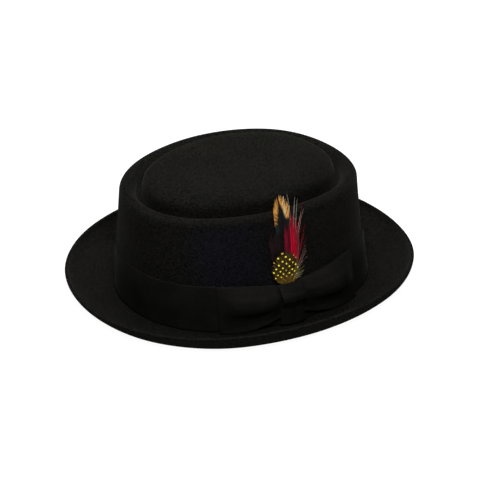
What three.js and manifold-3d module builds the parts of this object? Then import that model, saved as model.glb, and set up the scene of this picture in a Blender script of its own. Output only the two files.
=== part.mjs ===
// Porkpie hat of black felt with a wide ribbon, a side bow and a bunch of feathers.
// Millimetres, +Z up. The front of the hat faces -Y and the wearer's left is +X.
// The origin is the middle of the brim's outline, on the surface that the hat rests on.
import * as THREE from 'three';
import Module from 'manifold-3d';

const wasm = await Module();
wasm.setup();

// Felt
const feltWall = 2.5;

// Brim, measured to the outside of the rim
const brimHalfWidth = 121.1;
const brimHalfLength = 138.4;
const brimRise = 18.2; // mean height of the rim
const brimRiseSides = 1.7; // higher at both sides, lower at the front and back
const brimRiseBack = 0.7; // higher at the back, lower at the front
const brimRiseLeft = 1.4; // higher at the wearer's left
const brimCurl = 28.1; // width of the part that turns up
const brimCurlPower = 1.8; // 2 is a quarter of an ellipse, less is flatter
const rimRound = 0.8; // how far the raw edge stands out between its two faces

// Crown, measured to the outside of the felt
const crownHalfWidth = 83.6;
const crownHalfLength = 101.4;
const crownBehind = 2.3; // middle of the crown behind the middle of the brim
const crownHeight = 89.6; // mean height of the crest
const crownTaperSides = 12.9; // how far each side leans in below the shoulder
const crownTaperEnds = 3.9;
const crownForward = 2.6; // how far the top lies in front of the base
const crownRightward = 1.6;
const crestFrontRise = 3.3; // crest higher at the front and lower at the back
const crestSidesRise = 1.5;
const crestRightRise = 1.8;
const crownBreakRadius = 1.0; // between the brim and the crown
const shoulderRadius = 6.2;

// Crown top: a ridge that falls inwards from its crest, a gutter inside it and a domed tip
const ridgeWidth = 12.6;
const ridgeFall = 5.0; // from the crest down to the gutter's edge
const ridgeFallPower = 1.6; // 1 is a straight slope, more is rounder at the crest
const gutterWidth = 4.7;
const gutterDepth = 10.0;
const domeRise = 10.4; // middle of the dome above the crest
const domePower = 4.3; // the higher, the squarer the dome's edge

// Shape of every oval: narrower at the front, and a little fuller at its four corners
const ovalEgg = 0.036;
const ovalFullness = 0.013;

// Ribbon round the crown
const ribbonWidth = 37.4;
const ribbonThickness = 0.9;
const ribbonSeat = 0.6; // above the top of the brim
const ribbonClearance = 0.3;

// Bow on the wearer's left. Places along the ribbon count from the middle of that side.
const bowMiddle = -10.5; // minus is towards the front
const frontLoopLength = 56.0; // from the middle of the bow
const rearLoopLength = 63.5;
const loopGap = 5.0; // between the two pinched ends, under the knot
const loopFoldRadius = 1.2;
const loopPuff = 5.2;
const knotWidth = 21.0;
const knotDrop = 2.0; // top edge of the knot below the ribbon's
const knotThickness = 1.1;
const knotLift = 0.7; // space between the pinched loops and the knot
const knotBulge = 0.6; // the knot's middle stands this much further out than its sides
const pieceClearance = 0.3;

// Feathers tucked in behind the knot
const vaneThickness = 0.8;
const vaneLift = 4.0; // how much further the tips stand off than the quills
const featherTuck = 1.4; // how far the quills reach below the knot's top edge
const goldFeatherLength = 68.0;
const goldFeatherHalfWidth = 6.6;
const goldFeatherRoot = -0.6; // from the middle of the bow, at its foot
const goldFeatherPlace = -0.8; // from the middle of the bow, at its tip
const goldFeatherCup = 0.6; // how far its edges curve back
const goldFeatherDroop = 2.0; // how much lower its edges end than its quill
const maroonFeatherLength = 42.0;
const maroonFeatherHalfWidth = 4.6;
const maroonFeatherRoot = -1.2;
const maroonFeatherPlace = -11.5;
const maroonFeatherCup = 0.4;
const maroonFeatherDroop = 0.8;
const redFeatherLength = 61.0;
const redFeatherHalfWidth = 7.8;
const redFeatherRoot = 1.0;
const redFeatherPlace = 7.6;
const redFeatherCup = 0.3;
const redFeatherDroop = 1.2;
const spottedFeatherLength = 28.6;
const spottedFeatherHalfWidth = 11.6;
const spottedFeatherRoot = -1.4;
const spottedFeatherPlace = -3.0;
const spottedFeatherCup = 0.0;
const spottedFeatherDroop = 2.8;

// How finely the round forms are divided
const turns = 56;
const halfTurn = Math.PI;

// The crown's wall from brim to shoulder: shares of its height, tapers and forward lean
const crownSections = [
  { rise: 0.0, sides: 0.0, ends: 0.0, forward: 0.0 },
  { rise: 0.46, sides: 0.3, ends: 0.7, forward: 0.86 },
  { rise: 1.0, sides: 1.0, ends: 1.0, forward: 1.0 },
];

// A loop of the bow from the knot outwards: shares of its length, of the ribbon's width and of the puff
const loopSections = [
  { along: 0.0, top: 0.85, bottom: 0.24, puff: 0.5 },
  { along: 0.16, top: 0.87, bottom: 0.2, puff: 0.52 },
  { along: 0.34, top: 0.93, bottom: 0.11, puff: 0.86 },
  { along: 0.56, top: 0.99, bottom: 0.04, puff: 1.0 },
  { along: 0.8, top: 1.01, bottom: 0.0, puff: 0.7 },
  { along: 1.0, top: 1.02, bottom: 0.0, puff: 0.0 },
];

// How a loop bellies out from its top edge down to its bottom edge
const loopBelly = [
  { down: 0.0, out: 0.3 },
  { down: 0.22, out: 0.72 },
  { down: 0.45, out: 1.0 },
  { down: 0.66, out: 0.82 },
  { down: 0.84, out: 0.4 },
  { down: 1.0, out: 0.1 },
];

// Outlines of the feathers: shares of the length and of the half width
const goldVane = [
  { along: 0.0, half: 0.12 },
  { along: 0.2, half: 0.3 },
  { along: 0.45, half: 0.62 },
  { along: 0.7, half: 0.92 },
  { along: 0.84, half: 1.0 },
  { along: 0.95, half: 0.7 },
  { along: 1.0, half: 0.16 },
];
const maroonVane = [
  { along: 0.0, half: 0.16 },
  { along: 0.2, half: 0.55 },
  { along: 0.5, half: 1.0 },
  { along: 0.8, half: 0.8 },
  { along: 1.0, half: 0.14 },
];
const spottedVane = [
  { along: 0.0, half: 0.12 },
  { along: 0.16, half: 0.62 },
  { along: 0.34, half: 1.0 },
  { along: 0.58, half: 0.94 },
  { along: 0.82, half: 0.7 },
  { along: 1.0, half: 0.26 },
];
const hackleVane = [
  { along: 0.0, half: 0.5 },
  { along: 0.3, half: 0.75 },
  { along: 0.6, half: 1.0 },
  { along: 0.85, half: 0.66 },
  { along: 1.0, half: 0.1 },
];

// The red hackles: shares of the half width for the tip's place, and of the length for the tip's height
const hackles = [
  { across: -0.78, reach: 0.8, width: 0.3 },
  { across: -0.36, reach: 0.93, width: 0.34 },
  { across: 0.06, reach: 0.88, width: 0.34 },
  { across: 0.46, reach: 1.0, width: 0.32 },
  { across: 0.9, reach: 0.86, width: 0.28 },
];

const shoulderHeight = crownHeight - shoulderRadius;
const ribbonBottom = feltWall + ribbonSeat;
const ribbonTop = ribbonBottom + ribbonWidth;
const ribbonFace = ribbonClearance + ribbonThickness; // outside of the ribbon from the felt
const loopBack = ribbonFace + pieceClearance + ribbonThickness / 2;

// A value between two rows of a table, smoothly from row to row
function between(rows, place, value, at) {
  let low = 0;
  while (low < rows.length - 2 && at > rows[low + 1][place]) low += 1;
  const from = rows[low];
  const to = rows[low + 1];
  const share = THREE.MathUtils.clamp((at - from[place]) / (to[place] - from[place]), 0, 1);
  const eased = (THREE.MathUtils.smoothstep(share, 0, 1) + share) / 2;
  return THREE.MathUtils.lerp(from[value], to[value], eased);
}

// The parabola through the three rows of a table
function parabola(rows, place, value, at) {
  let sum = 0;
  rows.forEach((row, index) => {
    let weight = row[value];
    rows.forEach((other, place2) => {
      if (place2 !== index) weight *= (at - other[place]) / (row[place] - other[place]);
    });
    sum += weight;
  });
  return sum;
}

function ovalPoint(turn, oval, height) {
  const corner = (1 - ovalFullness * Math.cos(4 * turn)) / (1 - ovalFullness);
  const egg = 1 + ovalEgg * Math.sin(turn);
  const x = oval.middleX + oval.halfWidth * Math.cos(turn) * corner * egg;
  const y = oval.middleY + oval.halfLength * Math.sin(turn) * corner;
  return new THREE.Vector3(x, y, height);
}

// Outward direction of an oval in its own plane
function ovalOutward(turn, oval) {
  const step = 0.001;
  const ahead = ovalPoint(turn + step, oval, 0).sub(ovalPoint(turn - step, oval, 0));
  return new THREE.Vector3(ahead.y, -ahead.x, 0).normalize();
}

function crestWave(turn) {
  const towardsLeft = Math.cos(turn);
  return crestSidesRise * Math.cos(2 * turn) - crestFrontRise * Math.sin(turn) - crestRightRise * towardsLeft;
}

function crownOval(height) {
  const rise = (height - feltWall) / (shoulderHeight - feltWall);
  return {
    halfWidth: crownHalfWidth - crownTaperSides * parabola(crownSections, 'rise', 'sides', rise),
    halfLength: crownHalfLength - crownTaperEnds * parabola(crownSections, 'rise', 'ends', rise),
    middleX: -crownRightward * rise,
    middleY: crownBehind - crownForward * parabola(crownSections, 'rise', 'forward', rise),
  };
}

function insetOval(oval, inset) {
  return { ...oval, halfWidth: oval.halfWidth - inset, halfLength: oval.halfLength - inset };
}

// Each station is one level line of the felt's visible face: an oval and its height at each turn

function brimStations() {
  const rim = { halfWidth: brimHalfWidth, halfLength: brimHalfLength, middleX: 0, middleY: 0 };
  const curlShares = [1, 0.965, 0.87, 0.7, 0.45, 0];
  return curlShares.map((share) => {
    const climb = 1 - (1 - share ** brimCurlPower) ** (1 / brimCurlPower);
    return {
      oval: insetOval(rim, feltWall + (brimCurl - feltWall) * (1 - share)),
      flat: share === 0,
      height: (turn) => {
        const sides = brimRiseSides * Math.cos(2 * turn) + brimRiseLeft * Math.cos(turn);
        const wave = sides + brimRiseBack * Math.sin(turn);
        return feltWall + climb * (brimRise + wave - feltWall);
      },
    };
  });
}

function breakStations() {
  const base = crownOval(feltWall + crownBreakRadius);
  return [90, 45, 0].map((degrees) => {
    const angle = THREE.MathUtils.degToRad(degrees);
    return {
      oval: insetOval(base, -crownBreakRadius * (1 - Math.cos(angle))),
      flat: degrees === 90,
      height: () => feltWall + crownBreakRadius * (1 - Math.sin(angle)),
    };
  });
}

function wallStations() {
  const start = feltWall + crownBreakRadius;
  return [0.22, 0.45, 0.64, 0.83, 1].map((share) => {
    const level = THREE.MathUtils.lerp(start, shoulderHeight, share);
    const above = Math.max(0, (level - ribbonTop) / (shoulderHeight - ribbonTop));
    return { oval: crownOval(level), height: (turn) => level + above * crestWave(turn) };
  });
}

// Shoulder, ridge and gutter in one run from the top of the wall inwards
function ridgeStations() {
  const top = crownOval(shoulderHeight);
  const gutterRadius = gutterWidth / 2;
  const run = [];
  [24, 46, 68, 90].forEach((degrees) => {
    const angle = THREE.MathUtils.degToRad(degrees);
    run.push({
      inset: shoulderRadius * (1 - Math.cos(angle)),
      drop: shoulderRadius * (1 - Math.sin(angle)),
    });
  });
  [0.3, 0.55, 0.8, 1].forEach((share) => run.push({
    inset: THREE.MathUtils.lerp(shoulderRadius, ridgeWidth, share),
    drop: ridgeFall * share ** ridgeFallPower,
  }));
  [0, 60, 120, 180].forEach((degrees) => {
    const angle = THREE.MathUtils.degToRad(degrees);
    run.push({
      inset: ridgeWidth + gutterRadius * (1 - Math.cos(angle)),
      drop: gutterDepth - gutterRadius + gutterRadius * Math.sin(angle),
    });
  });
  return run.map(({ inset, drop }) => ({
    oval: insetOval(top, inset),
    height: (turn) => crownHeight - drop + crestWave(turn),
  }));
}

function domeStations() {
  const edge = insetOval(crownOval(shoulderHeight), ridgeWidth + gutterWidth);
  const bottom = crownHeight - gutterDepth + gutterWidth / 2;
  const rise = crownHeight + domeRise - bottom;
  const slimness = edge.halfWidth / edge.halfLength;
  return [0.02, 0.06, 0.13, 0.25, 0.42, 0.62, 0.82].map((share) => {
    const climb = (1 - (1 - share) ** domePower) ** (1 / domePower);
    return {
      oval: {
        ...edge,
        halfWidth: edge.halfWidth * (1 - share),
        halfLength: edge.halfLength * (1 - share * (slimness + (1 - slimness) * share)),
      },
      height: (turn) => bottom + rise * climb + (1 - share) * crestWave(turn),
    };
  });
}

function pushQuad(faces, a, b, c, d) {
  faces.push(a, b, c, a, c, d);
}

function makeGeometry(points, faces) {
  const geometry = new THREE.BufferGeometry();
  geometry.setFromPoints(points);
  geometry.setIndex(faces);
  geometry.computeVertexNormals();
  return geometry;
}

// A closed body from a chain of level loops, either capped at both ends or joined end to end
function loopsBody(loops, capped) {
  const count = loops[0].length;
  const points = loops.flat();
  const faces = [];
  const last = capped ? loops.length - 1 : loops.length;
  for (let row = 0; row < last; row += 1) {
    const next = (row + 1) % loops.length;
    for (let k = 0; k < count; k += 1) {
      const k2 = (k + 1) % count;
      pushQuad(faces, row * count + k, next * count + k, next * count + k2, row * count + k2);
    }
  }
  if (capped) {
    [0, loops.length - 1].forEach((row) => {
      const middle = new THREE.Vector3();
      loops[row].forEach((point) => middle.addScaledVector(point, 1 / count));
      points.push(middle);
      for (let k = 0; k < count; k += 1) {
        const ends = [row * count + k, row * count + ((k + 1) % count)];
        if (row > 0) ends.reverse();
        faces.push(points.length - 1, ...ends);
      }
    });
  }
  return makeGeometry(points, faces);
}

// A sheet of points made a closed body: half its thickness to either side
function sheetBody(grid, thicknessAt) {
  const rows = grid.length;
  const columns = grid[0].length;
  const faces = [];
  const front = [];
  const back = [];
  for (let i = 0; i < rows; i += 1) {
    for (let j = 0; j < columns; j += 1) {
      const alongRows = grid[Math.min(i + 1, rows - 1)][j].clone().sub(grid[Math.max(i - 1, 0)][j]);
      const alongColumns = grid[i][Math.min(j + 1, columns - 1)].clone().sub(grid[i][Math.max(j - 1, 0)]);
      const normal = alongRows.cross(alongColumns).normalize();
      const half = thicknessAt(i, j) / 2;
      front.push(grid[i][j].clone().addScaledVector(normal, half));
      back.push(grid[i][j].clone().addScaledVector(normal, -half));
    }
  }
  const size = rows * columns;
  const at = (i, j) => i * columns + j;
  for (let i = 0; i < rows - 1; i += 1) {
    for (let j = 0; j < columns - 1; j += 1) {
      pushQuad(faces, at(i, j), at(i + 1, j), at(i + 1, j + 1), at(i, j + 1));
      pushQuad(faces, size + at(i, j), size + at(i, j + 1), size + at(i + 1, j + 1), size + at(i + 1, j));
    }
  }
  for (let i = 0; i < rows - 1; i += 1) {
    const j = columns - 1;
    pushQuad(faces, at(i, 0), size + at(i, 0), size + at(i + 1, 0), at(i + 1, 0));
    pushQuad(faces, at(i, j), at(i + 1, j), size + at(i + 1, j), size + at(i, j));
  }
  for (let j = 0; j < columns - 1; j += 1) {
    const i = rows - 1;
    pushQuad(faces, at(0, j), at(0, j + 1), size + at(0, j + 1), size + at(0, j));
    pushQuad(faces, at(i, j), size + at(i, j), size + at(i, j + 1), at(i, j + 1));
  }
  return makeGeometry([...front, ...back], faces);
}

function levelLoop(station) {
  const loop = [];
  for (let k = 0; k < turns; k += 1) {
    const turn = (2 * halfTurn * k) / turns;
    loop.push(ovalPoint(turn, station.oval, station.height(turn)));
  }
  return loop;
}

// The felt: its visible face, the raw rim, and the hidden face one wall behind
function feltBody() {
  const crownTop = [...ridgeStations(), ...domeStations()];
  const stations = [...brimStations(), ...breakStations(), ...wallStations(), ...crownTop];
  const visible = stations.map(levelLoop);
  const hidden = visible.map((loop, row) => loop.map((point, k) => {
    const inner = visible[Math.min(row + 1, visible.length - 1)][k];
    const outer = visible[Math.max(row - 1, 0)][k];
    const ahead = loop[(k + 1) % turns].clone().sub(loop[(k - 1 + turns) % turns]);
    const normal = ahead.cross(inner.clone().sub(outer)).normalize();
    if (stations[row].flat) normal.set(0, 0, 1);
    return point.clone().addScaledVector(normal, -feltWall);
  }));
  const rim = visible[0].map((point, k) => {
    const climb = point.clone().sub(visible[1][k]).normalize();
    return point.clone().add(hidden[0][k]).multiplyScalar(0.5).addScaledVector(climb, rimRound);
  });
  return loopsBody([...visible.reverse(), rim, ...hidden], true);
}

function ribbonRing() {
  const levels = [0, 0.34, 0.67, 1].map((share) => ribbonBottom + ribbonWidth * share);
  const ringAt = (level, standOff) => levelLoop({
    oval: insetOval(crownOval(level), -standOff),
    height: () => level,
  });
  const outside = levels.map((level) => ringAt(level, ribbonFace));
  const inside = levels.map((level) => ringAt(level, ribbonClearance));
  return loopsBody([...outside.reverse(), ...inside], false);
}

// Turn of the oval at a distance along the ribbon from the middle of the wearer's left side
function turnAlong(distance) {
  const steps = 60;
  let turn = 0;
  for (let step = 0; step < steps; step += 1) {
    const speed = Math.hypot(crownHalfWidth * Math.sin(turn), crownHalfLength * Math.cos(turn));
    turn += distance / steps / speed;
  }
  return turn;
}

// A point beside the crown: distance along the ribbon, height, and distance out from the felt
function beside(distance, height, standOff) {
  const turn = turnAlong(distance);
  const oval = crownOval(height);
  return ovalPoint(turn, oval, height).addScaledVector(ovalOutward(turn, oval), standOff);
}

// One loop of the bow: from the knot along the ribbon, round the fold and back over the outside
function loopSheet(direction, length) {
  const inner = loopGap / 2;
  const reach = length - inner - loopFoldRadius;
  const path = [];
  [0, 0.14, 0.28, 0.42, 0.56, 0.7, 0.85, 1].forEach((along) => path.push({ along, layer: 0, past: 0 }));
  [45, 90, 135].forEach((degrees) => {
    const angle = THREE.MathUtils.degToRad(degrees);
    path.push({ along: 1, layer: (1 - Math.cos(angle)) / 2, past: loopFoldRadius * Math.sin(angle) });
  });
  [1, 0.9, 0.78, 0.64, 0.5, 0.36, 0.24, 0.12, 0].forEach((along) => path.push({ along, layer: 1, past: 0 }));
  return path.map(({ along, layer, past }) => loopBelly.map(({ down, out }) => {
    const top = between(loopSections, 'along', 'top', along);
    const bottom = between(loopSections, 'along', 'bottom', along);
    const puff = between(loopSections, 'along', 'puff', along) * loopPuff;
    const height = ribbonBottom + ribbonWidth * THREE.MathUtils.lerp(top, bottom, down);
    const standOff = loopBack + 2 * loopFoldRadius * layer + (layer === 1 ? puff * out : 0);
    const distance = bowMiddle + direction * (inner + reach * along + past);
    return beside(distance, height, standOff);
  }));
}

function bowLoop(direction, length) {
  const grid = loopSheet(direction, length);
  if (direction > 0) grid.reverse();
  return sheetBody(grid, () => ribbonThickness);
}

// The knot: a short ribbon over the pinched middle of the bow
function bowKnot() {
  const pinched = loopSections[0];
  const cover = loopBack + 2 * loopFoldRadius + ribbonThickness / 2 + knotLift + knotThickness / 2;
  const top = ribbonTop - knotDrop;
  const bottom = ribbonBottom + ribbonWidth * pinched.bottom - knotDrop;
  const grid = loopBelly.map(({ down, out }) => [-1, -0.6, 0, 0.6, 1].map((across) => {
    const height = THREE.MathUtils.lerp(top, bottom, down);
    const pad = loopPuff * pinched.puff * out + knotBulge * (1 - across * across);
    return beside(bowMiddle + (knotWidth / 2) * across, height, cover + pad);
  }));
  return sheetBody(grid, () => knotThickness);
}

// A feather's sheet: its quill runs from behind the knot to the tip, and its vane spreads to both sides
function featherSheet(feather) {
  const root = ribbonTop - knotDrop - featherTuck;
  const lowest = ribbonFace + pieceClearance + vaneThickness / 2;
  const layerStep = vaneThickness + pieceClearance;
  return feather.outline.map(({ along, half }) => [-1, -0.5, 0, 0.5, 1].map((across) => {
    const bend = Math.sin((along * halfTurn) / 2);
    const side = feather.halfWidth * half * across;
    const distance = bowMiddle + THREE.MathUtils.lerp(feather.root, feather.place, bend) + side;
    const cup = feather.cup * half * across * across;
    const standOff = lowest + layerStep * feather.layer + vaneLift * along * along - cup * along;
    const height = root + feather.length * along - feather.droop * along * across * across;
    return beside(distance, height, standOff);
  }));
}

function featherBody(feather) {
  const thin = 0.5;
  return sheetBody(featherSheet(feather), (i, j) => vaneThickness * (1 - thin * Math.abs(j - 2) / 2));
}

function toSolid(geometry) {
  const position = geometry.getAttribute('position');
  return new wasm.Manifold(new wasm.Mesh({
    numProp: 3,
    vertProperties: new Float32Array(position.array),
    triVerts: new Uint32Array(geometry.getIndex().array),
  }));
}

function toGeometry(solid) {
  const mesh = solid.getMesh();
  const geometry = new THREE.BufferGeometry();
  geometry.setAttribute('position', new THREE.BufferAttribute(mesh.vertProperties, 3));
  geometry.setIndex(new THREE.BufferAttribute(mesh.triVerts, 1));
  geometry.computeVertexNormals();
  return geometry;
}

// The red hackles are narrow feathers that spread from one bound foot
function hackleBunch(bunch) {
  const narrow = hackles.map(({ across, reach, width }) => featherBody({
    ...bunch,
    outline: hackleVane,
    place: bunch.place + bunch.halfWidth * across,
    halfWidth: bunch.halfWidth * width,
    length: bunch.length * reach,
  }));
  return toGeometry(narrow.map(toSolid).reduce((whole, part) => whole.add(part)));
}

// Layers count outwards from the crown
const goldFeather = {
  outline: goldVane,
  layer: 0,
  length: goldFeatherLength,
  halfWidth: goldFeatherHalfWidth,
  root: goldFeatherRoot,
  place: goldFeatherPlace,
  cup: goldFeatherCup,
  droop: goldFeatherDroop,
};
const maroonFeather = {
  outline: maroonVane,
  layer: 1,
  length: maroonFeatherLength,
  halfWidth: maroonFeatherHalfWidth,
  root: maroonFeatherRoot,
  place: maroonFeatherPlace,
  cup: maroonFeatherCup,
  droop: maroonFeatherDroop,
};
const redFeather = {
  layer: 2,
  length: redFeatherLength,
  halfWidth: redFeatherHalfWidth,
  root: redFeatherRoot,
  place: redFeatherPlace,
  cup: redFeatherCup,
  droop: redFeatherDroop,
};
const spottedFeather = {
  outline: spottedVane,
  layer: 3,
  length: spottedFeatherLength,
  halfWidth: spottedFeatherHalfWidth,
  root: spottedFeatherRoot,
  place: spottedFeatherPlace,
  cup: spottedFeatherCup,
  droop: spottedFeatherDroop,
};

const blackFelt = { color: 0x1b1b1a, roughness: 0.95, metalness: 0 };
const blackRibbon = { color: 0x191a1a, roughness: 0.6, metalness: 0 };
const goldVaneFinish = { color: 0xc99a45, roughness: 0.7, metalness: 0 };
const maroonVaneFinish = { color: 0x3c1f1c, roughness: 0.75, metalness: 0 };
const redVaneFinish = { color: 0xb3122c, roughness: 0.7, metalness: 0 };
const spottedVaneFinish = { color: 0x4a3a12, roughness: 0.75, metalness: 0 };

function piece(name, geometry, finish) {
  const mesh = new THREE.Mesh(geometry, new THREE.MeshStandardMaterial(finish));
  mesh.name = name;
  return mesh;
}

const hat = new THREE.Group();
hat.add(piece('felt_body', feltBody(), blackFelt));
hat.add(piece('hat_band', ribbonRing(), blackRibbon));
hat.add(piece('bow_loop_front', bowLoop(-1, frontLoopLength), blackRibbon));
hat.add(piece('bow_loop_rear', bowLoop(1, rearLoopLength), blackRibbon));
hat.add(piece('bow_knot', bowKnot(), blackRibbon));
hat.add(piece('gold_laced_feather', featherBody(goldFeather), goldVaneFinish));
hat.add(piece('maroon_feather', featherBody(maroonFeather), maroonVaneFinish));
hat.add(piece('red_hackles', hackleBunch(redFeather), redVaneFinish));
hat.add(piece('spotted_feather', featherBody(spottedFeather), spottedVaneFinish));

export default hat;
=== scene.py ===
import math
import random

import bpy
import bmesh
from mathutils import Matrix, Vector, noise


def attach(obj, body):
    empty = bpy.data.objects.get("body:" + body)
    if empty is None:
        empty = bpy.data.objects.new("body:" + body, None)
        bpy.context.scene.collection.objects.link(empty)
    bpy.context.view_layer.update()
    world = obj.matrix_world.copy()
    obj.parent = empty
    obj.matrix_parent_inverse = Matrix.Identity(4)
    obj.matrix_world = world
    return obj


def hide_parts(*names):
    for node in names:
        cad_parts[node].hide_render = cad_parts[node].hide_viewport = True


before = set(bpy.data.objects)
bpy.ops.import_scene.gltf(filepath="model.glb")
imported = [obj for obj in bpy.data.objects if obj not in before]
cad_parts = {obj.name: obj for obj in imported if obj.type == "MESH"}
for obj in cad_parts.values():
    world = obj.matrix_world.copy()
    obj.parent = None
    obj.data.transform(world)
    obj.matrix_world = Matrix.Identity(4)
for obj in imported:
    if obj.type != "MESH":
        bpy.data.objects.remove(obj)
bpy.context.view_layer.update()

# A black felt porkpie hat with a wide ribbon, a side bow and a bunch of feathers.
# Metres, +Z up, the front of the hat towards -Y and the wearer's left towards +X.

mm = 0.001
scene = bpy.context.scene
random.seed(7)


# Camera, at the photograph's angle

photoView = {
    "azimuth": 55.5,
    "elevation": 28.9,
    "roll": 0.75,
    "distance": 1961 * mm,
    "focalPixels": 2528.5,
    "target": Vector((0, 1.3, 45)) * mm,
    "targetPixel": (240.7, 224.9),
    "frameSide": 500,
    "sensor": 36,
}


def makeCamera(view):
    azimuth, elevation = math.radians(view["azimuth"]), math.radians(view["elevation"])
    away = Vector((math.sin(azimuth) * math.cos(elevation), -math.cos(azimuth) * math.cos(elevation),
                   math.sin(elevation)))
    data = bpy.data.cameras.new("photoCamera")
    camera = bpy.data.objects.new("photoCamera", data)
    scene.collection.objects.link(camera)
    side = view["frameSide"]
    data.sensor_width = view["sensor"]
    data.lens = view["focalPixels"] / side * view["sensor"]
    data.shift_x = (side / 2 - view["targetPixel"][0]) / side
    data.shift_y = -(side / 2 - view["targetPixel"][1]) / side
    data.clip_start, data.clip_end = 0.05, 20
    camera.location = view["target"] + away * view["distance"]
    camera.rotation_euler = (-away).to_track_quat("-Z", "Y").to_euler()
    camera.rotation_euler.rotate_axis("Z", math.radians(view["roll"]))
    scene.camera = camera


makeCamera(photoView)
print("camera set")


# Shader helpers

class Socket:
    def __init__(self, shader, output):
        self.shader = shader
        self.output = output

    def combine(self, operation, first, second):
        return self.shader.node("ShaderNodeMath", {"operation": operation}, {0: first, 1: second})

    def __add__(self, other):
        return self.combine("ADD", self, other)

    def __radd__(self, other):
        return self.combine("ADD", other, self)

    def __sub__(self, other):
        return self.combine("SUBTRACT", self, other)

    def __rsub__(self, other):
        return self.combine("SUBTRACT", other, self)

    def __mul__(self, other):
        return self.combine("MULTIPLY", self, other)

    def __rmul__(self, other):
        return self.combine("MULTIPLY", other, self)

    def __truediv__(self, other):
        return self.combine("DIVIDE", self, other)

    def __pow__(self, other):
        return self.combine("POWER", self, other)


class Shader:
    def __init__(self, name):
        self.material = bpy.data.materials.new(name)
        self.material.use_nodes = True
        self.tree = self.material.node_tree
        self.surface = self.tree.nodes["Principled BSDF"]

    def node(self, kind, settings=None, sockets=None, output=0):
        made = self.tree.nodes.new(kind)
        for setting, value in (settings or {}).items():
            if setting == "stops":
                ramp = made.color_ramp
                while len(ramp.elements) < len(value):
                    ramp.elements.new(0.5)
                for element, (place, colour) in zip(ramp.elements, value):
                    element.position = place
                    element.color = (*colour, 1)
            else:
                setattr(made, setting, value)
        for key, value in (sockets or {}).items():
            self.feed(made.inputs[key], value)
        return Socket(self, made.outputs[output])

    def feed(self, target, value):
        if isinstance(value, Socket):
            self.tree.links.new(value.output, target)
        elif isinstance(value, (tuple, list)) and len(value) == 3 and target.type == "RGBA":
            target.default_value = (*value, 1)
        else:
            target.default_value = value

    def noise(self, place, scale, detail=3.0, roughness=0.55):
        return self.node("ShaderNodeTexNoise", {}, {"Vector": place, "Scale": scale, "Detail": detail,
                                                    "Roughness": roughness})

    def mix(self, share, first, second):
        made = self.tree.nodes.new("ShaderNodeMix")
        made.data_type = "RGBA"
        self.feed(made.inputs[0], share)
        self.feed(made.inputs[6], first)
        self.feed(made.inputs[7], second)
        return Socket(self, made.outputs[2])

    def step(self, value, low, high):
        return self.node("ShaderNodeMapRange", {"interpolation_type": "SMOOTHSTEP", "clamp": True},
                         {"Value": value, "From Min": low, "From Max": high})

    def bump(self, height, distance, strength=1.0, below=None):
        sockets = {"Height": height, "Distance": distance, "Strength": strength}
        if below is not None:
            sockets["Normal"] = below
        return self.node("ShaderNodeBump", {}, sockets)

    def finish(self, **values):
        for key, value in values.items():
            self.feed(self.surface.inputs[key.replace("_", " ")], value)
        return self.material


# Main sizes and the hat's own curves

hat = {
    "wall": 2.5 * mm,
    "brimHalfWidth": 121.1 * mm,
    "brimHalfLength": 138.4 * mm,
    "brimRise": 18.2 * mm,
    "brimRiseSides": 1.7 * mm,
    "brimRiseBack": 0.7 * mm,
    "brimRiseLeft": 1.4 * mm,
    "brimCurl": 28.1 * mm,
    "brimCurlPower": 1.8,
    "crownHalfWidth": 83.6 * mm,
    "crownHalfLength": 101.4 * mm,
    "crownBehind": 2.3 * mm,
    "crownHeight": 89.6 * mm,
    "crownTaperSides": 12.9 * mm,
    "crownTaperEnds": 3.9 * mm,
    "crownForward": 2.6 * mm,
    "crownRightward": 1.6 * mm,
    "crestFrontRise": 3.3 * mm,
    "crestSidesRise": 1.5 * mm,
    "crestRightRise": 1.8 * mm,
    "breakRadius": 1.0 * mm,
    "shoulderRadius": 6.2 * mm,
    "ridgeWidth": 12.6 * mm,
    "ridgeFall": 5.0 * mm,
    "ridgeFallPower": 1.6,
    "ridgeLip": 0.9 * mm,
    "gutterWidth": 4.7 * mm,
    "gutterDepth": 10.0 * mm,
    "domeRise": 10.4 * mm,
    "domePower": 4.3,
    "egg": 0.036,
    "fullness": 0.013,
    "ribbonWidth": 37.4 * mm,
    "ribbonThickness": 0.9 * mm,
    "ribbonSeat": 0.6 * mm,
    "clearance": 0.3 * mm,
    "bowMiddle": -10.5 * mm,
}
shoulderHeight = hat["crownHeight"] - hat["shoulderRadius"]
ribbonBottom = hat["wall"] + hat["ribbonSeat"]
ribbonTop = ribbonBottom + hat["ribbonWidth"]
ribbonFace = hat["clearance"] + hat["ribbonThickness"]

crownSections = {
    "sides": ((0, 0), (0.46, 0.3), (1, 1)),
    "ends": ((0, 0), (0.46, 0.7), (1, 1)),
    "forward": ((0, 0), (0.46, 0.86), (1, 1)),
}


def parabola(rows, at):
    total = 0
    for index, (place, value) in enumerate(rows):
        weight = value
        for other, (place2, _) in enumerate(rows):
            if other != index:
                weight *= (at - place2) / (place - place2)
        total += weight
    return total


def between(rows, at):
    low = 0
    while low < len(rows) - 2 and at > rows[low + 1][0]:
        low += 1
    (start, first), (end, second) = rows[low], rows[low + 1]
    share = min(1, max(0, (at - start) / (end - start)))
    eased = 0.5 * share + 0.5 * share * share * (3 - 2 * share)
    return first + (second - first) * eased


def ovalPoint(turn, oval, height):
    corner = (1 - hat["fullness"] * math.cos(4 * turn)) / (1 - hat["fullness"])
    egg = 1 + hat["egg"] * math.sin(turn)
    return Vector((oval["x"] + oval["halfWidth"] * math.cos(turn) * corner * egg,
                   oval["y"] + oval["halfLength"] * math.sin(turn) * corner, height))


def ovalOutward(turn, oval):
    ahead = ovalPoint(turn + 0.001, oval, 0) - ovalPoint(turn - 0.001, oval, 0)
    return Vector((ahead.y, -ahead.x, 0)).normalized()


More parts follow.
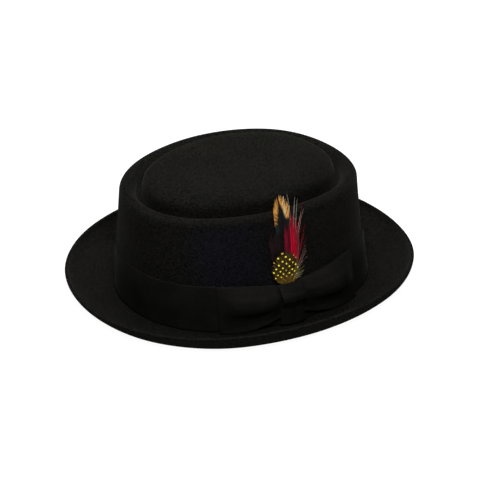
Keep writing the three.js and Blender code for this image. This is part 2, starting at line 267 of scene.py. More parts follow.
def crestWave(turn):
    return (hat["crestSidesRise"] * math.cos(2 * turn) - hat["crestFrontRise"] * math.sin(turn)
            - hat["crestRightRise"] * math.cos(turn))


def crownOval(height):
    rise = (height - hat["wall"]) / (shoulderHeight - hat["wall"])
    return {
        "halfWidth": hat["crownHalfWidth"] - hat["crownTaperSides"] * parabola(crownSections["sides"], rise),
        "halfLength": hat["crownHalfLength"] - hat["crownTaperEnds"] * parabola(crownSections["ends"], rise),
        "x": -hat["crownRightward"] * rise,
        "y": hat["crownBehind"] - hat["crownForward"] * parabola(crownSections["forward"], rise),
    }


def insetOval(oval, inset):
    return {**oval, "halfWidth": oval["halfWidth"] - inset, "halfLength": oval["halfLength"] - inset}


turnTable = []  # distance along the ribbon against turn, made once


def fillTurnTable():
    step = 0.002
    for direction in (-1, 1):
        turn, distance = 0.0, 0.0
        rows = []
        while abs(turn) < math.pi:
            rows.append((distance, turn))
            speed = math.hypot(hat["crownHalfWidth"] * math.sin(turn), hat["crownHalfLength"] * math.cos(turn))
            distance += direction * step * speed
            turn += direction * step
        turnTable.append(rows)


fillTurnTable()


def turnAlong(distance):
    rows = turnTable[1 if distance >= 0 else 0]
    low, high = 0, len(rows) - 1
    while high - low > 1:
        middle = (low + high) // 2
        if abs(rows[middle][0]) <= abs(distance):
            low = middle
        else:
            high = middle
    share = (distance - rows[low][0]) / (rows[high][0] - rows[low][0])
    return rows[low][1] + share * (rows[high][1] - rows[low][1])


def beside(distance, height, standOff):
    turn = turnAlong(distance)
    oval = crownOval(height)
    return ovalPoint(turn, oval, height) + ovalOutward(turn, oval) * standOff


# Mesh helpers

def addPiece(name, bm, material, smooth=True):
    mesh = bpy.data.meshes.new(name)
    bm.to_mesh(mesh)
    bm.free()
    piece = bpy.data.objects.new(name, mesh)
    scene.collection.objects.link(piece)
    mesh.polygons.foreach_set("use_smooth", [smooth] * len(mesh.polygons))
    mesh.materials.append(material)
    return piece


def bentSheet(columns, rows, place, cloth=None):
    # a flat grid bent into shape: place and cloth take shares from 0 to 1 both ways
    bm = bmesh.new()
    bmesh.ops.create_grid(bm, x_segments=columns, y_segments=rows, size=0.5)
    layer = bm.verts.layers.float_vector.new("cloth")
    for vert in bm.verts:
        across, up = vert.co.x + 0.5, vert.co.y + 0.5
        if cloth:
            vert[layer] = cloth(across, up)
        vert.co = place(across, up)
    return bm


def giveWall(piece, thickness, offset=0.0):
    wall = piece.modifiers.new("wall", "SOLIDIFY")
    wall.thickness = thickness
    wall.offset = offset
    wall.use_even_offset = True


def roundEdges(piece, width, angle=50, segments=2):
    edge = piece.modifiers.new("edges", "BEVEL")
    edge.width = width
    edge.segments = segments
    edge.limit_method = "ANGLE"
    edge.angle_limit = math.radians(angle)
    edge.profile = 0.5


def refine(piece, levels=1):
    finer = piece.modifiers.new("finer", "SUBSURF")
    finer.levels = levels
    finer.render_levels = levels


# Felt

feltLook = {
    "turns": 256,
    "wander": 0.35 * mm,  # slow unevenness of hand pressed felt
    "wanderSize": 45 * mm,
    "deep": (0.0008, 0.0008, 0.0007),
    "pale": (0.0044, 0.0043, 0.0037),
    "paintedVioletSheen": (0.0040, 0.0036, 0.0066),  # painted violet sheen: a faint stripe of light on the wall beside the bow
    "sheenFacing": (0.915, -0.403, 0.16),
    "sheenReach": (80.5 * mm, 90.5 * mm),
    "sheenHeights": (30 * mm, 38 * mm, 80 * mm, 92 * mm),
    "edge": 1.2 * mm,
}


def feltMaterial(look):
    shader = Shader("blackFelt")
    place = shader.node("ShaderNodeTexCoord", output="Object")
    nap = shader.noise(place, 1200, 3, 0.8)
    clump = shader.noise(place, 720, 3, 0.7)
    cloud = shader.noise(place, 30, 3, 0.5)
    tone = shader.step(nap * 0.56 + clump * 0.38 + cloud * 0.06, 0.43, 0.57)
    colour = shader.mix(tone, look["deep"], look["pale"])
    towards = shader.node("ShaderNodeVectorMath", {"operation": "DOT_PRODUCT"}, {0: place, 1: look["sheenFacing"]},
                          "Value")
    level = shader.node("ShaderNodeSeparateXYZ", {}, {0: place}, 2)
    low, lowFull, highFull, high = look["sheenHeights"]
    # painted violet sheen: a stripe down the wall where it faces one way, between two heights
    paintedSheen = shader.step(towards, *look["sheenReach"]) * shader.step(level, low, lowFull)
    paintedSheen = paintedSheen * shader.step(level, high, highFull) * 0.75
    colour = shader.mix(paintedSheen, colour, shader.mix(tone, look["deep"], look["paintedVioletSheen"]))
    coarse = shader.bump(clump, 0.26 * mm, 0.45)
    fine = shader.bump(nap, 0.26 * mm, 0.9, coarse)
    return shader.finish(Base_Color=colour, Roughness=0.86 + nap * 0.2, Normal=fine, Sheen_Weight=0.016,
                         Sheen_Roughness=0.42, Sheen_Tint=(0.62, 0.62, 0.55, 1), Specular_IOR_Level=0.0)


def arc(start, end, count, includeStart=True):
    first = 0 if includeStart else 1
    return [math.radians(start + (end - start) * k / count) for k in range(first, count + 1)]


def feltStations():
    # from the middle of the dome out and down to the rim: each is an oval and its height at each turn
    stations = []
    top = crownOval(shoulderHeight)
    edge = insetOval(top, hat["ridgeWidth"] + hat["gutterWidth"])
    bottom = hat["crownHeight"] - hat["gutterDepth"] + hat["gutterWidth"] / 2
    rise = hat["crownHeight"] + hat["domeRise"] - bottom
    slimness = edge["halfWidth"] / edge["halfLength"]
    domeRows = 34
    for k in range(domeRows):
        share = 1 - math.sin(math.pi / 2 * (k / domeRows) ** 0.8) if k else 1.0
        climb = (1 - (1 - share) ** hat["domePower"]) ** (1 / hat["domePower"])
        oval = {**edge, "halfWidth": edge["halfWidth"] * (1 - share),
                "halfLength": edge["halfLength"] * (1 - share * (slimness + (1 - slimness) * share))}
        stations.append((oval, lambda turn, c=climb, s=share: bottom + rise * c + (1 - s) * crestWave(turn)))

    def crest(inset, drop):
        stations.append((insetOval(top, inset), lambda turn, d=drop: hat["crownHeight"] - d + crestWave(turn)))

    half = hat["gutterWidth"] / 2
    crest(hat["ridgeWidth"] + 2 * half, hat["gutterDepth"] - half - 1.2 * mm)
    for angle in arc(180, 0, 8):
        crest(hat["ridgeWidth"] + half * (1 - math.cos(angle)), hat["gutterDepth"] - half + half * math.sin(angle))
    lip = hat["ridgeLip"]
    for angle in arc(0, 60, 4):
        crest(hat["ridgeWidth"] - lip * (1 - math.cos(angle)), hat["ridgeFall"] + lip * (1 - math.sin(angle)))
    for k in range(12, -1, -1):
        share = k / 12 * (1 - lip / hat["ridgeWidth"])
        crest(hat["shoulderRadius"] + (hat["ridgeWidth"] - hat["shoulderRadius"]) * share,
              hat["ridgeFall"] * share ** hat["ridgeFallPower"])
    for angle in arc(90, 0, 12, False):
        outer = hat["shoulderRadius"]
        crest(outer * (1 - math.cos(angle)), outer * (1 - math.sin(angle)))
    start = hat["wall"] + hat["breakRadius"]
    for k in range(1, 27):
        level = shoulderHeight + (start - shoulderHeight) * k / 26
        above = max(0, (level - ribbonTop) / (shoulderHeight - ribbonTop))
        stations.append((crownOval(level), lambda turn, z=level, a=above: z + a * crestWave(turn)))
    base = crownOval(start)
    for angle in arc(0, 90, 4, False):
        stations.append((insetOval(base, -hat["breakRadius"] * (1 - math.cos(angle))),
                         lambda turn, a=angle: hat["wall"] + hat["breakRadius"] * (1 - math.sin(a))))
    rim = {"halfWidth": hat["brimHalfWidth"], "halfLength": hat["brimHalfLength"], "x": 0, "y": 0}
    power = hat["brimCurlPower"]
    for k in range(30):
        share = math.sin(math.pi / 2 * k / 29)
        climb = 1 - (1 - share ** power) ** (1 / power)
        inset = hat["wall"] + (hat["brimCurl"] - hat["wall"]) * (1 - share)

        def height(turn, c=climb):
            wave = (hat["brimRiseSides"] * math.cos(2 * turn) + hat["brimRiseBack"] * math.sin(turn)
                    + hat["brimRiseLeft"] * math.cos(turn))
            return hat["wall"] + c * (hat["brimRise"] + wave - hat["wall"])

        stations.append((insetOval(rim, inset), height))
    return stations


def makeFelt(look):
    stations = feltStations()
    last = len(stations) - 1

    def place(across, up):
        oval, height = stations[round(up * last)]
        turn = 2 * math.pi * across
        return ovalPoint(turn, oval, height(turn))

    bm = bentSheet(look["turns"], last, place)
    bmesh.ops.remove_doubles(bm, verts=bm.verts[:], dist=0.01 * mm)
    bmesh.ops.recalc_face_normals(bm, faces=bm.faces[:])
    bm.normal_update()
    highest = max(bm.faces, key=lambda face: face.calc_center_median().z)
    if highest.normal.z < 0:
        bmesh.ops.reverse_faces(bm, faces=bm.faces[:])
    for vert in bm.verts:
        if vert.co.z > hat["wall"] * 1.5:
            drift = noise.noise(vert.co / look["wanderSize"])
            vert.co += vert.normal * (drift * look["wander"])
    piece = addPiece("feltHat", bm, feltMaterial(look))
    giveWall(piece, hat["wall"], -1)
    roundEdges(piece, look["edge"], 50, 4)
    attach(piece, "root")
    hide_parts("felt_body")
    return piece


feltHat = makeFelt(feltLook)
print("felt made")


# Ribbon

bow = {
    "frontLength": 56.0 * mm,
    "rearLength": 63.5 * mm,
    "gap": 5.0 * mm,
    "fold": 1.2 * mm,
    "puff": 7.0 * mm,
    "knotWidth": 21.0 * mm,
    "knotHeight": 34.0 * mm,
    "knotDrop": 1.6 * mm,
    "knotThickness": 1.1 * mm,
    "knotLift": 0.4 * mm,
    "knotBulge": 1.7 * mm,
    "pleat": 1.1 * mm,
    "lip": 1.0 * mm,  # the outer layer stands this much above the inner one
    "drawnDown": 6.0 * mm,
}
ribbonLook = {
    "columns": 520,
    "rows": 26,
    "selvedge": 1.3 * mm,  # width of the raised edge
    "selvedgeRise": 0.22 * mm,
    "ribPitch": 0.95,  # in millimetres, as the cloth coordinates
    "deep": (0.0010, 0.0010, 0.0009),
    "pale": (0.0047, 0.0045, 0.0042),
}


def ribbonMaterial(look):
    shader = Shader("blackRibbon")
    cloth = shader.node("ShaderNodeAttribute", {"attribute_name": "cloth"}, output="Vector")
    along = shader.node("ShaderNodeSeparateXYZ", {}, {0: cloth})
    across = shader.node("ShaderNodeSeparateXYZ", {}, {0: cloth}, output=1)
    ribs = shader.node("ShaderNodeMath", {"operation": "SINE"}, {0: along * (2 * math.pi / look["ribPitch"])})
    threads = shader.node("ShaderNodeMath", {"operation": "SINE"}, {0: across * (2 * math.pi / 0.42)})
    weave = shader.noise(cloth, 1.6, 3, 0.6)
    cloud = shader.noise(cloth, 0.06, 2, 0.5)
    tone = shader.step(weave * 0.8 + cloud * 0.2, 0.34, 0.66)
    colour = shader.mix(tone, look["deep"], look["pale"])
    relief = ribs * 0.5 + threads * 0.12 + weave * 0.5
    return shader.finish(Base_Color=colour, Roughness=0.52 + weave * 0.16,
                         Normal=shader.bump(relief, 0.06 * mm, 0.6), Sheen_Weight=0.01, Sheen_Roughness=0.35,
                         Sheen_Tint=(0.7, 0.7, 0.68, 1), Specular_IOR_Level=0.01)


ribbonBlack = ribbonMaterial(ribbonLook)


def selvedge(up, width, look):
    # how far the ribbon's edge stands out at a share of its width
    reach = look["selvedge"] / width
    rise = 0
    for edge in (up, 1 - up):
        if edge < 2 * reach:
            rise += look["selvedgeRise"] * (math.cos(math.pi * edge / reach) if edge < reach * 0.5
                                            else -0.3 * math.sin(math.pi * (edge / reach - 0.5) / 1.5))
    return rise


def makeRibbon(look):
    seam = turnAlong(hat["bowMiddle"])
    circuit = 2 * math.pi * math.sqrt((hat["crownHalfWidth"] ** 2 + hat["crownHalfLength"] ** 2) / 2)
    middle = (hat["clearance"] + ribbonFace) / 2

    def place(across, up):
        turn = seam + 2 * math.pi * across
        ahead = across if across < 0.5 else across - 1
        past = ahead * circuit / (bow["rearLength"] if ahead > 0 else -bow["frontLength"])
        drawn = max(0, 1 - past) ** 1.6 * bow["drawnDown"]
        level = ribbonBottom + (hat["ribbonWidth"] - drawn) * up
        oval = crownOval(level)
        ripple = 0.12 * mm * noise.noise(Vector((math.cos(turn), math.sin(turn), up * 0.6)) * 3.1)
        stand = middle + selvedge(up, hat["ribbonWidth"], look) + abs(ripple)
        return ovalPoint(turn, oval, level) + ovalOutward(turn, oval) * stand

    bm = bentSheet(look["columns"], look["rows"], place,
                   lambda across, up: Vector((circuit * across, hat["ribbonWidth"] * up, 0)) / mm)
    piece = addPiece("hatRibbon", bm, ribbonBlack)
    giveWall(piece, hat["ribbonThickness"] * 0.8)
    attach(piece, "root")
    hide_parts("hat_band")
    return piece


hatRibbon = makeRibbon(ribbonLook)
print("ribbon made")


# Bow

loopTop = ((0, 0.87), (0.16, 0.89), (0.34, 0.94), (0.56, 0.985), (0.8, 1.0), (1, 1.0))
loopBottom = ((0, 0.24), (0.16, 0.2), (0.34, 0.11), (0.56, 0.04), (0.8, 0.0), (1, 0.0))
loopPuff = ((0, 0.22), (0.08, 0.3), (0.2, 0.62), (0.38, 0.92), (0.56, 1.0), (0.8, 0.62), (1, 0.0))
loopBelly = ((0, 0.06), (0.12, 0.5), (0.28, 0.95), (0.42, 1.06), (0.52, 0.92), (0.62, 0.4), (0.72, 0.04), (0.86, -0.08),
             (1, 0.12))
knotBelly = ((0, 0.0), (0.12, 0.56), (0.26, 0.98), (0.36, 0.92), (0.48, 0.4), (0.6, 0.0), (0.8, -0.06), (1, 0.0))
loopBack = ribbonFace + hat["clearance"] + hat["ribbonThickness"] / 2


def makeLoop(name, node, direction, length, seed):
    inner = bow["gap"] / 2
    reach = length - inner - bow["fold"]
    foldLength = math.pi * bow["fold"]
    total = 2 * reach + foldLength

    def place(across, up):
        # across runs from the knot out along the band, round the fold and back over the outside
        travelled = across * total
        layer, past = 0.0, 0.0
        if travelled < reach:
            along = travelled / reach
        elif travelled > reach + foldLength:
            along, layer = (total - travelled) / reach, 1.0
        else:
            angle = (travelled - reach) / bow["fold"]
            along, layer, past = 1.0, (1 - math.cos(angle)) / 2, bow["fold"] * math.sin(angle)
        down = 1 - up
        top, bottom = between(loopTop, along), between(loopBottom, along)
        height = ribbonBottom + hat["ribbonWidth"] * (top + (bottom - top) * down) + bow["lip"] * layer * up ** 3
        stand = loopBack + 2 * bow["fold"] * layer
        if layer == 1.0:
            puff = between(loopPuff, along) * bow["puff"]
            stand += puff * between(loopBelly, down)
            near = max(0, 1 - along / 0.62)
            fan = math.cos(2 * math.pi * ((down - 0.35) * (2.4 - 1.1 * along) + 0.12 * seed))
            crossing = math.cos(2 * math.pi * (along * 4.3 - 0.8 * down + 0.4 * seed))
            stand += bow["pleat"] * near ** 1.2 * min(1, along / 0.1) * (0.6 * fan + 0.45 * crossing - 0.1)
            soft = noise.noise(Vector((along * 2.4, down * 1.6, seed * 3.7)))
            stand += 0.9 * mm * soft * math.sin(math.pi * min(1, along * 1.05))
        distance = hat["bowMiddle"] + direction * (inner + reach * along + past)
        return beside(distance, height, stand)

    bm = bentSheet(96, 26, place, lambda across, up: Vector((total * across, hat["ribbonWidth"] * up, 0)) / mm)
    bmesh.ops.recalc_face_normals(bm, faces=bm.faces[:])
    piece = addPiece(name, bm, ribbonBlack)
    giveWall(piece, hat["ribbonThickness"] * 0.8)
    refine(piece)
    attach(piece, "root")
    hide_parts(node)
    return piece


def makeKnot():
    cover = (loopBack + 2 * bow["fold"] + hat["ribbonThickness"] / 2 + bow["knotLift"]
             + bow["knotThickness"] / 2)
    top = ribbonTop - bow["knotDrop"]

    def place(across, up):
        side, down = across * 2 - 1, 1 - up
        height = top - bow["knotHeight"] * down - 0.9 * mm * side * side * (up - 0.3)
        pad = bow["puff"] * 0.9 * between(knotBelly, down) + bow["knotBulge"] * (0.4 - abs(side) ** 3)
        crease = 0.3 * mm * math.cos(side * 6.5 + 0.6 + down) * math.sin(math.pi * down) ** 0.6
        half = bow["knotWidth"] / 2 * (1 - 0.1 * math.sin(math.pi * down))
        return beside(hat["bowMiddle"] + half * side, height, cover + pad + crease)

    bm = bentSheet(30, 34, place, lambda across, up: Vector((bow["knotWidth"] * across, bow["knotHeight"] * up, 0)) / mm)
    piece = addPiece("bowKnot", bm, ribbonBlack)
    giveWall(piece, bow["knotThickness"] * 0.8)
    refine(piece)
    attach(piece, "root")
    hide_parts("bow_knot")


makeLoop("bowFrontLoop", "bow_loop_front", -1, bow["frontLength"], 1)
makeLoop("bowRearLoop", "bow_loop_rear", 1, bow["rearLength"], 2)
makeKnot()
print("bow made")


# Feathers: every barb is a narrow strip from the quill out to the vane's edge

featherRoot = ribbonTop - bow["knotDrop"] - 1.4 * mm
featherStand = {"lowest": 1.9 * mm, "layer": 1.1 * mm, "lift": 4.0 * mm}

goldFeather = {
    "name": "goldLacedFeather",
    "node": "gold_laced_feather",
    "slot": "gold_laced_feather",
    "length": 68.0 * mm,
    "halfWidth": 6.9 * mm,
    "root": -0.6 * mm,
    "place": -0.4 * mm,
    "layer": 0,
    "cup": 0.6 * mm,
    "sweep": 0.2,
    "barbs": 190,
    "barbWidth": 0.85 * mm,
    "ragged": 0.9 * mm,
    "seed": 3,
    "outline": ((0, 0.2), (0.2, 0.34), (0.45, 0.66), (0.7, 0.94), (0.86, 0.98), (0.95, 0.66), (1, 0.02)),
}
maroonFeather = {
    "name": "maroonFeather",
    "node": "maroon_feather",
    "slot": "maroon_feather",
    "length": 44.0 * mm,
    "halfWidth": 5.4 * mm,
    "root": -1.2 * mm,
    "place": -10.6 * mm,
    "layer": 1,
    "cup": 0.4 * mm,
    "sweep": 0.34,
    "barbs": 120,
    "barbWidth": 0.6 * mm,
    "ragged": 2.2 * mm,
    "seed": 11,
    "outline": ((0, 0.3), (0.2, 0.7), (0.5, 1.0), (0.8, 0.8), (1, 0.2)),
}
spottedFeather = {
    "name": "spottedFeather",
    "node": "spotted_feather",
    "slot": "spotted_feather",
    "length": 28.6 * mm,
    "halfWidth": 11.2 * mm,
    "root": -1.4 * mm,
    "place": -3.2 * mm,
    "layer": 3,
    "cup": -0.5 * mm,
    "sweep": 0.3,
    "barbs": 170,
    "barbWidth": 0.9 * mm,
    "ragged": 0.9 * mm,
    "seed": 23,
    "outline": ((0, 0.42), (0.1, 0.74), (0.24, 0.95), (0.45, 1.0), (0.66, 0.84), (0.84, 0.56), (0.95, 0.28),
                (1, 0.08)),
}
redBlades = (
    # tip from the bow's middle, tip height, half width, layer, shade, barbs
    {"tip": 0.2, "top": 84.0, "half": 2.1, "layer": 1.5, "shade": "crimson", "barbs": 70},
    {"tip": 3.0, "top": 87.0, "half": 1.5, "layer": 1.7, "shade": "wine", "barbs": 60},
    {"tip": 6.4, "top": 92.5, "half": 1.9, "layer": 2.2, "shade": "red", "barbs": 84},
    {"tip": 9.6, "top": 88.5, "half": 1.0, "layer": 2.3, "shade": "red", "barbs": 34},
    {"tip": 10.6, "top": 84.0, "half": 2.2, "layer": 1.9, "shade": "rose", "barbs": 38},
)
redTints = {
    "crimson": ((0.10, 0.001, 0.009), (0.12, 0.002, 0.012)),
    "wine": ((0.03, 0.001, 0.005), (0.06, 0.001, 0.008)),
    "red": ((0.22, 0.0, 0.009), (0.29, 0.0, 0.014)),
    "rose": ((0.09, 0.003, 0.012), (0.12, 0.03, 0.03)),
}


def featherMaterial(name, spotted=False):
    shader = Shader(name)
    tint = shader.node("ShaderNodeAttribute", {"attribute_name": "tint"})
    vane = shader.node("ShaderNodeAttribute", {"attribute_name": "vane"}, output="Vector")
    strands = shader.noise(vane, 2.6, 2, 0.6)
    colour = shader.mix(shader.step(strands, 0.35, 0.68), tint, shader.mix(0.55, tint, (0.0, 0.0, 0.0)))
    if spotted:
        lattice = shader.node("ShaderNodeAttribute", {"attribute_name": "lattice"}, output="Vector")
        dots = shader.node("ShaderNodeTexVoronoi", {"voronoi_dimensions": "2D", "feature": "F1"},
                           {"Vector": lattice, "Scale": 1.0, "Randomness": 0.16})
        shown = shader.node("ShaderNodeSeparateXYZ", {}, {0: lattice}, output=2)
        fromMiddle = dots + (strands - 0.5) * 0.06 + (1 - shown) * 0.5
        colour = shader.mix(shader.step(fromMiddle, 0.37, 0.29), colour, (0.010, 0.005, 0.003))
        colour = shader.mix(shader.step(fromMiddle, 0.195, 0.135), colour, (0.60, 0.50, 0.03))
    return shader.finish(Base_Color=colour, Roughness=0.5 + strands * 0.2, Specular_IOR_Level=0.06,
                         Normal=shader.bump(strands, 0.05 * mm, 0.5))


def newFeatherMesh():
    bm = bmesh.new()
    layers = {"tint": bm.verts.layers.float_color.new("tint"), "vane": bm.verts.layers.float_vector.new("vane"),
              "lattice": bm.verts.layers.float_vector.new("lattice")}
    return bm, layers


def addStrip(bm, layers, path, width, shade, seed, segments=8, lattice=None):
    # path gives distance, height and stand-off at a share of the strip's length
    made = bmesh.ops.create_grid(bm, x_segments=1, y_segments=segments, size=0.5)
    for vert in made["verts"]:
        side, share = vert.co.x * 2, vert.co.y + 0.5
        here, ahead = path(share), path(min(1, share + 0.02))
        behind = path(max(0, share - 0.02))
        run = Vector((ahead[0] - behind[0], ahead[1] - behind[1])).normalized()
        half = width(share) / 2 * side
        distance, height = here[0] - run.y * half, here[1] + run.x * half
        vert.co = beside(distance, height, here[2])
        vert[layers["tint"]] = (*shade(distance - hat["bowMiddle"], height, share), 1)
        vert[layers["vane"]] = Vector((half / mm * 2.2, share * 2.5, seed))
        if lattice:
            vert[layers["lattice"]] = lattice(distance - hat["bowMiddle"], height)


def bendOf(points, share):
    # a quadratic curve through a start, a pull and an end
    a, b, c = points
    return tuple((1 - share) ** 2 * a[k] + 2 * share * (1 - share) * b[k] + share ** 2 * c[k] for k in range(2))


def addVane(bm, layers, feather, shade, lattice=None):
    rng = random.Random(feather["seed"])
    length = feather["length"]
    start = hat["bowMiddle"] + feather["root"]
    end = hat["bowMiddle"] + feather["place"]

    def quill(share):
        return start + (end - start) * (1.7 * share - 0.7 * share * share), featherRoot + length * share

    def stand(share, across):
        lowest = featherStand["lowest"] + featherStand["layer"] * feather["layer"]
        return lowest + featherStand["lift"] * share * share + feather["cup"] * across * across

    for index in range(feather["barbs"]):
        side = 1 if index % 2 else -1
        reach = ((index // 2) + rng.random()) / (feather["barbs"] // 2)
        foot = max(0, reach - feather["sweep"])
        across = between(feather["outline"], reach) * feather["halfWidth"]
        clump = noise.noise(Vector((reach * 16, side * 3, feather["seed"])))
        loose = rng.gauss(0, 0.35) + clump * 1.3
        tipX = quill(reach)[0] + side * across * (1 + 0.05 * loose)
        tipZ = quill(reach)[1] + feather["ragged"] * loose
        footX, footZ = quill(foot)
        pull = (footX + (tipX - footX) * 0.66, footZ + (tipZ - footZ) * 0.42)
        near = stand(foot, 0) + rng.uniform(0, 0.25) * mm
        far = stand(reach, across / feather["halfWidth"]) + rng.uniform(-0.3, 0.5) * mm

        def path(share):
            distance, height = bendOf(((footX, footZ), pull, (tipX, tipZ)), share)
            return distance, height, near + (far - near) * share

        def width(share):
            return feather["barbWidth"] * (0.35 + 0.65 * min(1, share * 5)) * (1 - 0.85 * max(0, share - 0.6) / 0.4)

        strand = rng.uniform(0.5, 1.2)
        addStrip(bm, layers, path, width, lambda d, z, s, k=strand: tuple(c * k for c in shade(d, z, s)),
                 index * 1.7, 8, lattice)

    def shaft(share):
        distance, height = quill(share * 0.92)
        return distance, height, stand(share * 0.92, 0) + 0.35 * mm

    addStrip(bm, layers, shaft, lambda share: (0.6 - 0.45 * share) * mm, lambda d, z, s: shade(d, z, 0.0), 0.5, 16)


def dressFeather(feather, bm, material):
    piece = addPiece(feather["name"], bm, material)
    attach(piece, "root")
    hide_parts(feather["node"])


def fade(value, low, high):
    share = min(1, max(0, (value - low) / (high - low)))
    return share * share * (3 - 2 * share)


def blend(first, second, share):
    return tuple(a + (b - a) * share for a, b in zip(first, second))


def goldShade(distance, height, share):
    # black at heart, laced with gold along both edges near the tip, with a painted teal sheen on the black low down on
    # the left
    x, z = distance / mm, height / mm
    black, gold, cream = (0.004, 0.004, 0.004), (0.44, 0.205, 0.043), (0.48, 0.34, 0.165)
    brown, paintedTealSheen = (0.09, 0.03, 0.008), (0.006, 0.016, 0.015)
    down = max(0, 101 - z)
    heart, heartHalf = -1.7 + 0.07 * down, 0.4 + 0.25 * down
    left = fade(heart - heartHalf - x, -0.3, 0.4) * fade(z + 0.6 * (heart - heartHalf - x), 83, 85.5)
    right = fade(x - heart - heartHalf, -0.3, 0.4) * fade(z, 86, 89)
    bars = fade(abs(math.sin(z * 1.25 + x * 0.5)), 0.45, 0.8) * fade(94 - z, 0, 4)
    leftLace = blend(gold, brown, bars)
    rightLace = blend(gold, cream, fade(1.3 - abs(x - 2.3), 0, 0.7))
    rightLace = blend(rightLace, brown, 0.8 * fade(0.55 - abs(x - 3.9), 0, 0.3) * fade(z, 96, 99))
    lace = leftLace if x < heart else rightLace
    # painted teal sheen blended into the black ground low down on the vane's left
    ground = blend(black, paintedTealSheen, fade(4.5 - abs(z - 79), 0, 4) * fade(-x, 2, 5))
    return blend(ground, lace, max(left, right, fade(z, 101, 102.5)))


def maroonShade(distance, height, share):
    return blend((0.004, 0.002, 0.002), (0.010, 0.003, 0.003), share)


def spottedShade(distance, height, share):
    z = height / mm
    net = blend((0.012, 0.006, 0.002), (0.066, 0.038, 0.006), fade(math.sin(distance / mm * 2.9 + z * 1.7), -0.2, 1))
    fluff = blend((0.035, 0.018, 0.003), (0.10, 0.058, 0.005), fade(math.sin(distance / mm * 1.9 - z * 0.9), -0.7, 0.7))
    return blend(fluff, net, fade(z, 41, 47))


def spotLattice(distance, height):
    # the dots sit on a slanted net that gets finer towards the foot
    low, high = 2.6, 5.0
    z = (height - featherRoot) / mm
    slope = (high - low) / 27
    pitch = low + slope * max(0, z)
    up = math.log(pitch / low) / slope
    top = math.log((low + slope * 26.2) / low) / slope
    x, y = (distance / mm + 2.8) / pitch, up - top
    return Vector(((x + y) / math.sqrt(2) + 0.5, (x - y) / math.sqrt(2) + 0.5, fade(z, 2.6, 6.5)))


def makeRedHackles():
    bm, layers = newFeatherMesh()
    rng = random.Random(31)
    for number, blade in enumerate(redBlades):
        inner, outer = redTints[blade["shade"]]
        spec = {"length": blade["top"] * mm - featherRoot, "halfWidth": blade["half"] * mm, "root": 1.8 * mm + 0.5 * number * mm,
                "place": blade["tip"] * mm, "layer": blade["layer"], "cup": 0.3 * mm, "sweep": 0.3,
                "barbs": blade["barbs"], "barbWidth": 0.55 * mm, "ragged": 1.6 * mm, "seed": 40 + number,
                "outline": ((0, 0.5), (0.3, 0.75), (0.6, 1.0), (0.85, 0.66), (1, 0.1))}

        def shade(d, z, s, a=inner, b=outer):
            return blend(a, b, s)

        addVane(bm, layers, spec, shade)
    wisps = ((4.4, 104), (12.4, 99), (11.4, 101), (16.6, 93.5), (15.2, 89), (14.6, 82), (14.2, 75), (15.0, 67),
             (16.0, 59), (14.8, 62), (13.4, 86), (9.8, 96))
    for number, (tipX, tipZ) in enumerate(wisps):
        for strand in range(2):
            footX = hat["bowMiddle"] + rng.uniform(1.5, 4.5) * mm
            endX = hat["bowMiddle"] + (tipX + rng.gauss(0, 0.9)) * mm
            endZ = (tipZ + rng.gauss(0, 1.6)) * mm
            outwards = rng.uniform(0.3, 0.7) if tipX > 5 else rng.uniform(1.7, 2.0)
            pull = (footX + (endX - footX) * outwards, featherRoot + (endZ - featherRoot) * 0.62)
            pale = blend((0.24, 0.12, 0.11), (0.30, 0.28, 0.22), fade(endZ / mm, 70, 95))
            if rng.random() < 0.35 and tipZ < 95:
                pale = (0.22, 0.004, 0.012)

            def path(share, a=(footX, featherRoot), b=pull, c=(endX, endZ)):
                distance, height = bendOf((a, b, c), share)
                return distance, height, 4.6 * mm + 3.4 * mm * share * share

            addStrip(bm, layers, path, lambda share: 0.22 * mm * (1 - 0.6 * share),
                     lambda d, z, s, tone=pale: blend((0.16, 0.01, 0.02), tone, fade(s, 0.35, 0.8)), number * 4 + strand, 12)
    piece = addPiece("redHackles", bm, featherMaterial("redFeather"))
    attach(piece, "root")
    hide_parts("red_hackles")


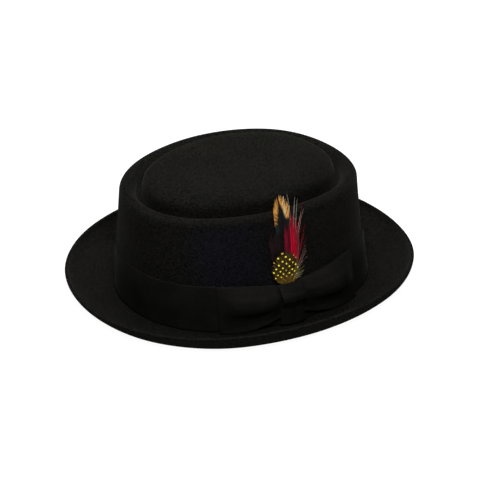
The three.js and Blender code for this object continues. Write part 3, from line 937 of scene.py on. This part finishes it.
def addLooseBarbs(bm, layers):
    # stray barbs that stand out from the spotted feather on the side away from the front
    rng = random.Random(57)
    for number in range(26):
        high = rng.random()
        foot = (hat["bowMiddle"] + rng.uniform(1, 5) * mm, (40 + 13 * high) * mm)
        reach, rise = rng.uniform(5.5, 9) * mm, rng.uniform(1, 10) * mm * (0.35 + 0.65 * high)
        tip = (foot[0] + reach, foot[1] + rise)
        pull = (foot[0] + reach * 0.6, foot[1] + rise * 0.3)
        tone = blend((0.12, 0.10, 0.012), (0.20, 0.19, 0.13), rng.random())

        def path(share, a=foot, b=pull, c=tip):
            distance, height = bendOf((a, b, c), share)
            return distance, height, 5.4 * mm + 1.2 * mm * share

        addStrip(bm, layers, path, lambda share: 0.22 * mm * (1 - 0.7 * share), lambda d, z, s, k=tone: k, number, 8)


def makeFeathers():
    for feather, shade, lattice in ((goldFeather, goldShade, None), (maroonFeather, maroonShade, None),
                                    (spottedFeather, spottedShade, spotLattice)):
        bm, layers = newFeatherMesh()
        addVane(bm, layers, feather, shade, lattice)
        if lattice:
            addLooseBarbs(bm, layers)
        dressFeather(feather, bm, featherMaterial(feather["name"] + "Vane", lattice is not None))


makeFeathers()
makeRedHackles()
print("feathers made")


# Floor, light and world

studio = {
    "floor": (0.1, 0.1, 0.1),
    "glow": 0.97,  # a lit white table
    "world": 0.1,
    "top": {"size": 0.45, "power": 13, "place": (-0.13, 0.04, 0.68)},
    "front": {"size": 0.35, "power": 26, "place": (0.72, -0.48, 0.95)},
}


def makeStudio(look):
    bm = bmesh.new()
    bmesh.ops.create_grid(bm, x_segments=1, y_segments=1, size=4)
    bmesh.ops.translate(bm, verts=bm.verts[:], vec=(0, 0, -0.02 * mm))
    shader = Shader("whiteTable")
    floor = addPiece("floor", bm, shader.finish(Base_Color=look["floor"], Roughness=0.9, Specular_IOR_Level=0.0,
                                                Emission_Color=(1, 1, 1), Emission_Strength=look["glow"]))
    world = bpy.data.worlds.new("studio")
    scene.world = world
    world.use_nodes = True
    world.node_tree.nodes["Background"].inputs["Color"].default_value = (1, 1, 1, 1)
    world.node_tree.nodes["Background"].inputs["Strength"].default_value = look["world"]
    for name in ("top", "front"):
        lamp = look[name]
        data = bpy.data.lights.new(name + "Light", "AREA")
        data.shape = "SQUARE"
        data.size = lamp["size"]
        data.energy = lamp["power"]
        light = bpy.data.objects.new(name + "Light", data)
        scene.collection.objects.link(light)
        light.location = lamp["place"]
        light.rotation_euler = (Vector((0, 0, 0.05)) - light.location).to_track_quat("-Z", "Y").to_euler()


makeStudio(studio)
scene.view_settings.view_transform = "Standard"
scene.view_settings.look = "None"
print("studio made")
